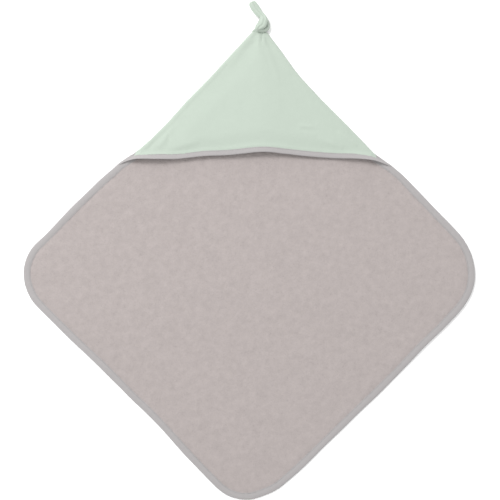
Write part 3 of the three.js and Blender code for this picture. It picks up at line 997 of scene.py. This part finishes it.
def hood_tape_halves():
    """The hood's folded tape, cut in two at the hood's middle."""
    low = np.linspace(FRONT_ENDS[0], MIDDLE_SHARE, FRONT_STEPS // 2)
    high = np.linspace(MIDDLE_SHARE, FRONT_ENDS[1], FRONT_STEPS // 2)
    place, back = front_fold(np.concatenate([low, high[1:]]))
    along = length_along(place)
    across, height = tape_section(HOOD_TAPE_OUTER, HOOD_TAPE_INNER, HOOD_TAPE_WIDTH)
    rise = puckered(height, across / HOOD_TAPE_WIDTH, along, HOOD_PUCKER_HIGH, 33)
    pressed = 1 - smoothstep(0, 14 * MM, np.minimum(along, along[-1] - along))
    rise = rise - END_PRESSED * pressed[:, None]
    flat = (place[:, None] + back[:, None] * across[None, :, None]).reshape(-1, 2)
    points = on_hood(drawn_in(flat), rise.ravel())
    uv = flat_tape(along, across, height)
    count = len(across)
    whole = tube_faces(len(place), count, closed_ends=False)
    normals = point_normals(points, np.array(whole))
    cut = (len(low) - 1) * count
    halves = []
    for name, first, last in (("hood_tape_left", 0, cut + count),
                              ("hood_tape_right", cut, len(points))):
        faces = tube_faces((last - first) // count, count)
        made = piece(name, points[first:last], faces, TAPE, uv[first:last],
                     normals[first:last], plain=2)
        blend_to_front(made)
        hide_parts("hood_edge_binding")
        halves.append(made)
    return halves


def hood_stitch_halves():
    """The stitches that hold the hood's tape, left and right of its middle."""
    first, last = FRONT_ENDS[0] + STITCHES_SHORT, FRONT_ENDS[1] - STITCHES_SHORT
    halves = []
    for name, low, high in (("hood_stitches_left", first, MIDDLE_SHARE),
                            ("hood_stitches_right", MIDDLE_SHARE, last)):
        count = int((high - low) * FRONT_LENGTH / STITCH_PITCH)
        shares = low + (high - low) * (np.arange(count) + 0.5) / count
        place, back = front_fold(shares)
        centres = on_hood(drawn_in(place + back * HOOD_TAPE_WIDTH * STITCH_SHARE), STITCH_ON_HOOD)
        along = unit(np.gradient(centres, axis=0))
        side = np.column_stack([back, np.zeros(len(back))])
        points, faces = stitches(centres, along, unit(np.cross(along, side)))
        made = piece(name, points, faces, THREAD, points[:, :2])
        blend_to_front(made)
        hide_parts("hood_edge_thread")
        halves.append(made)
    return halves


def seam_stitches():
    """Stitches deep in the crease between the hood's rolled edge and the terry's."""
    inset, height = 1.1 * MM, 1.9 * MM
    for name, side, node in (("left_seam_stitches", seam_left, "left_seam_thread"),
                             ("right_seam_stitches", seam_right, "right_seam_thread")):
        flat = side(STITCH_PITCH, inset)[2:-2]
        way = unit(np.gradient(flat, axis=0))
        level = np.zeros((len(flat), 1))
        centres = np.column_stack([flat, lie_of_towel(flat) + height])
        points, faces = stitches(centres, np.hstack([way, level]), np.hstack([-left_of(way), level]))
        row = piece(name, points, faces, THREAD, points[:, :2])
        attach(row, "towel")
        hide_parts(node)


# ==== Tie: a rolled strip of muslin, tied once ====

KNOT = np.array([27.6, 565, 12.6])  # its centre, millimetres
KNOT_FLATTENED = 0.86
LOWEST = 0.2 * MM  # the tie stays this far off the table
# The strip's middle line through the knot and out to its end, from the knot's centre, millimetres
KNOT_ROUTE = np.array([
    [-6, -14, -6], [-5, -6, -6], [-2, 2, -5], [2, 8, -3.4], [6.2, 8, -5], [8.8, 2.4, -6],
    [9.2, -5, -5.4], [5.4, -9.8, -2.0], [-3, -10.4, 0.2], [-11, -9.2, 2.4], [-8.8, -5.4, 6.5],
    [-3, -1, 9], [-0.2, 6, 8], [1.4, 12, 4.2], [-1.6, 18.8, -0.5], [-8.4, 26, -3],
    [-14.6, 34.4, -4.8], [-20, 42.6, -5.2], [-24, 49.6, -5.4], [-25.8, 53.2, -5.5],
])
# Share of that line, half-width and half-thickness, millimetres
KNOT_SECTIONS = [
    (0, 7, 5), (0.15, 6.5, 5), (0.22, 5.4, 5.2), (0.36, 5.2, 5.4), (0.44, 5.6, 5.4), (0.5, 8, 6),
    (0.56, 10.4, 6.4), (0.62, 9.4, 6.4), (0.68, 7.6, 6), (0.74, 7, 5.8), (0.82, 7.8, 5.6),
    (0.9, 8.3, 5.4), (0.96, 7.8, 5), (0.985, 6.8, 4.4), (1, 4.6, 3),
]
# The same for the flat neck that joins the strip to the hood, its route from the frame's origin
NECK_ROUTE = np.array([
    [18.8, 544.5, 3.7], [19.2, 546.5, 3.8], [20, 549, 4.2], [22, 554, 6], [25, 559, 9],
])
NECK_SECTIONS = [(0, 18, 2.6), (0.14, 17.6, 3.2), (0.28, 16.2, 4), (0.62, 11.8, 4.6), (1, 9, 4.6)]
PLEATS = ((5, 0.06), (9, 0.045), (14, 0.025))  # how many round the strip, and their depth
PLEATS_ON_TOP = 1.6  # how much deeper they are on its flat sides
PLEAT_WANDER = 0.7
WANDER_PLACES = 9
FREE_END = (0.68, 0.82)  # shares of the strip between which its free end begins


def strip(route, sections, sides, steps, seed, loose=0.0):
    """A soft gathered strip along a route, its pleats running with it: points, faces and flat places.
    loose is how much deeper the pleats are towards its free end."""
    line, _ = smooth_curve(route, steps)
    line = spaced(line, length_along(line)[-1] / (steps - 1))
    tangent = unit(np.gradient(line, axis=0))
    side = unit(np.cross(tangent, [0, 0, 1.0]))
    over = np.cross(side, tangent)
    share = np.linspace(0, 1, len(line))
    at, wide, thick = np.array(sections).T
    wide, thick = np.interp(share, at, wide)[:, None], np.interp(share, at, thick)[:, None]
    angle = 2 * np.pi * np.arange(sides)[None] / sides
    rng = np.random.default_rng(seed)
    pleats = 0.0
    for folds, depth in PLEATS:
        turns = rng.normal(0, PLEAT_WANDER, WANDER_PLACES)
        wander = np.interp(share, np.linspace(0, 1, WANDER_PLACES), turns)[:, None]
        pleats = pleats + depth * np.cos(folds * angle + wander + rng.uniform(*ANY_PHASE))
    pleats = pleats * (1 + loose * smoothstep(*FREE_END, share))[:, None]
    points = (line[:, None] + side[:, None] * (np.cos(angle) * wide * (1 + pleats))[..., None]
              + over[:, None] * (np.sin(angle) * thick * (1 + PLEATS_ON_TOP * pleats))[..., None])
    flat = np.stack(np.broadcast_arrays(length_along(line)[:, None], angle * wide.mean()), axis=2)
    return points.reshape(-1, 3), tube_faces(len(line), sides), flat.reshape(-1, 2) * MM


def knotted_tie():
    """The knot and the free tail."""
    points, faces, flat = strip(KNOT_ROUTE, KNOT_SECTIONS, sides=48, steps=200, seed=51, loose=0.8)
    points = (points * [1, 1, KNOT_FLATTENED] + KNOT) * MM
    points[:, 2] = np.maximum(points[:, 2], LOWEST)
    made = piece("knotted_tie", points, faces, MUSLIN, flat)
    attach(made, "knot")
    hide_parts("tip_tie")
    return made


def tie_neck():
    """The flat stretch between the hood's tip and the knot."""
    points, faces, flat = strip(NECK_ROUTE, NECK_SECTIONS, sides=64, steps=30, seed=52)
    points = points * MM
    points[:, 2] = np.maximum(points[:, 2], LOWEST)
    made = piece("tie_neck", points, faces, MUSLIN, flat)
    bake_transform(made)


terry = terry_panel()
tape = perimeter_tape()
tape_thread = perimeter_stitches()
hood = hood_halves()
hood_tapes = hood_tape_halves()
hood_threads = hood_stitch_halves()
seam_stitches()
tie = knotted_tie()
tie_neck()
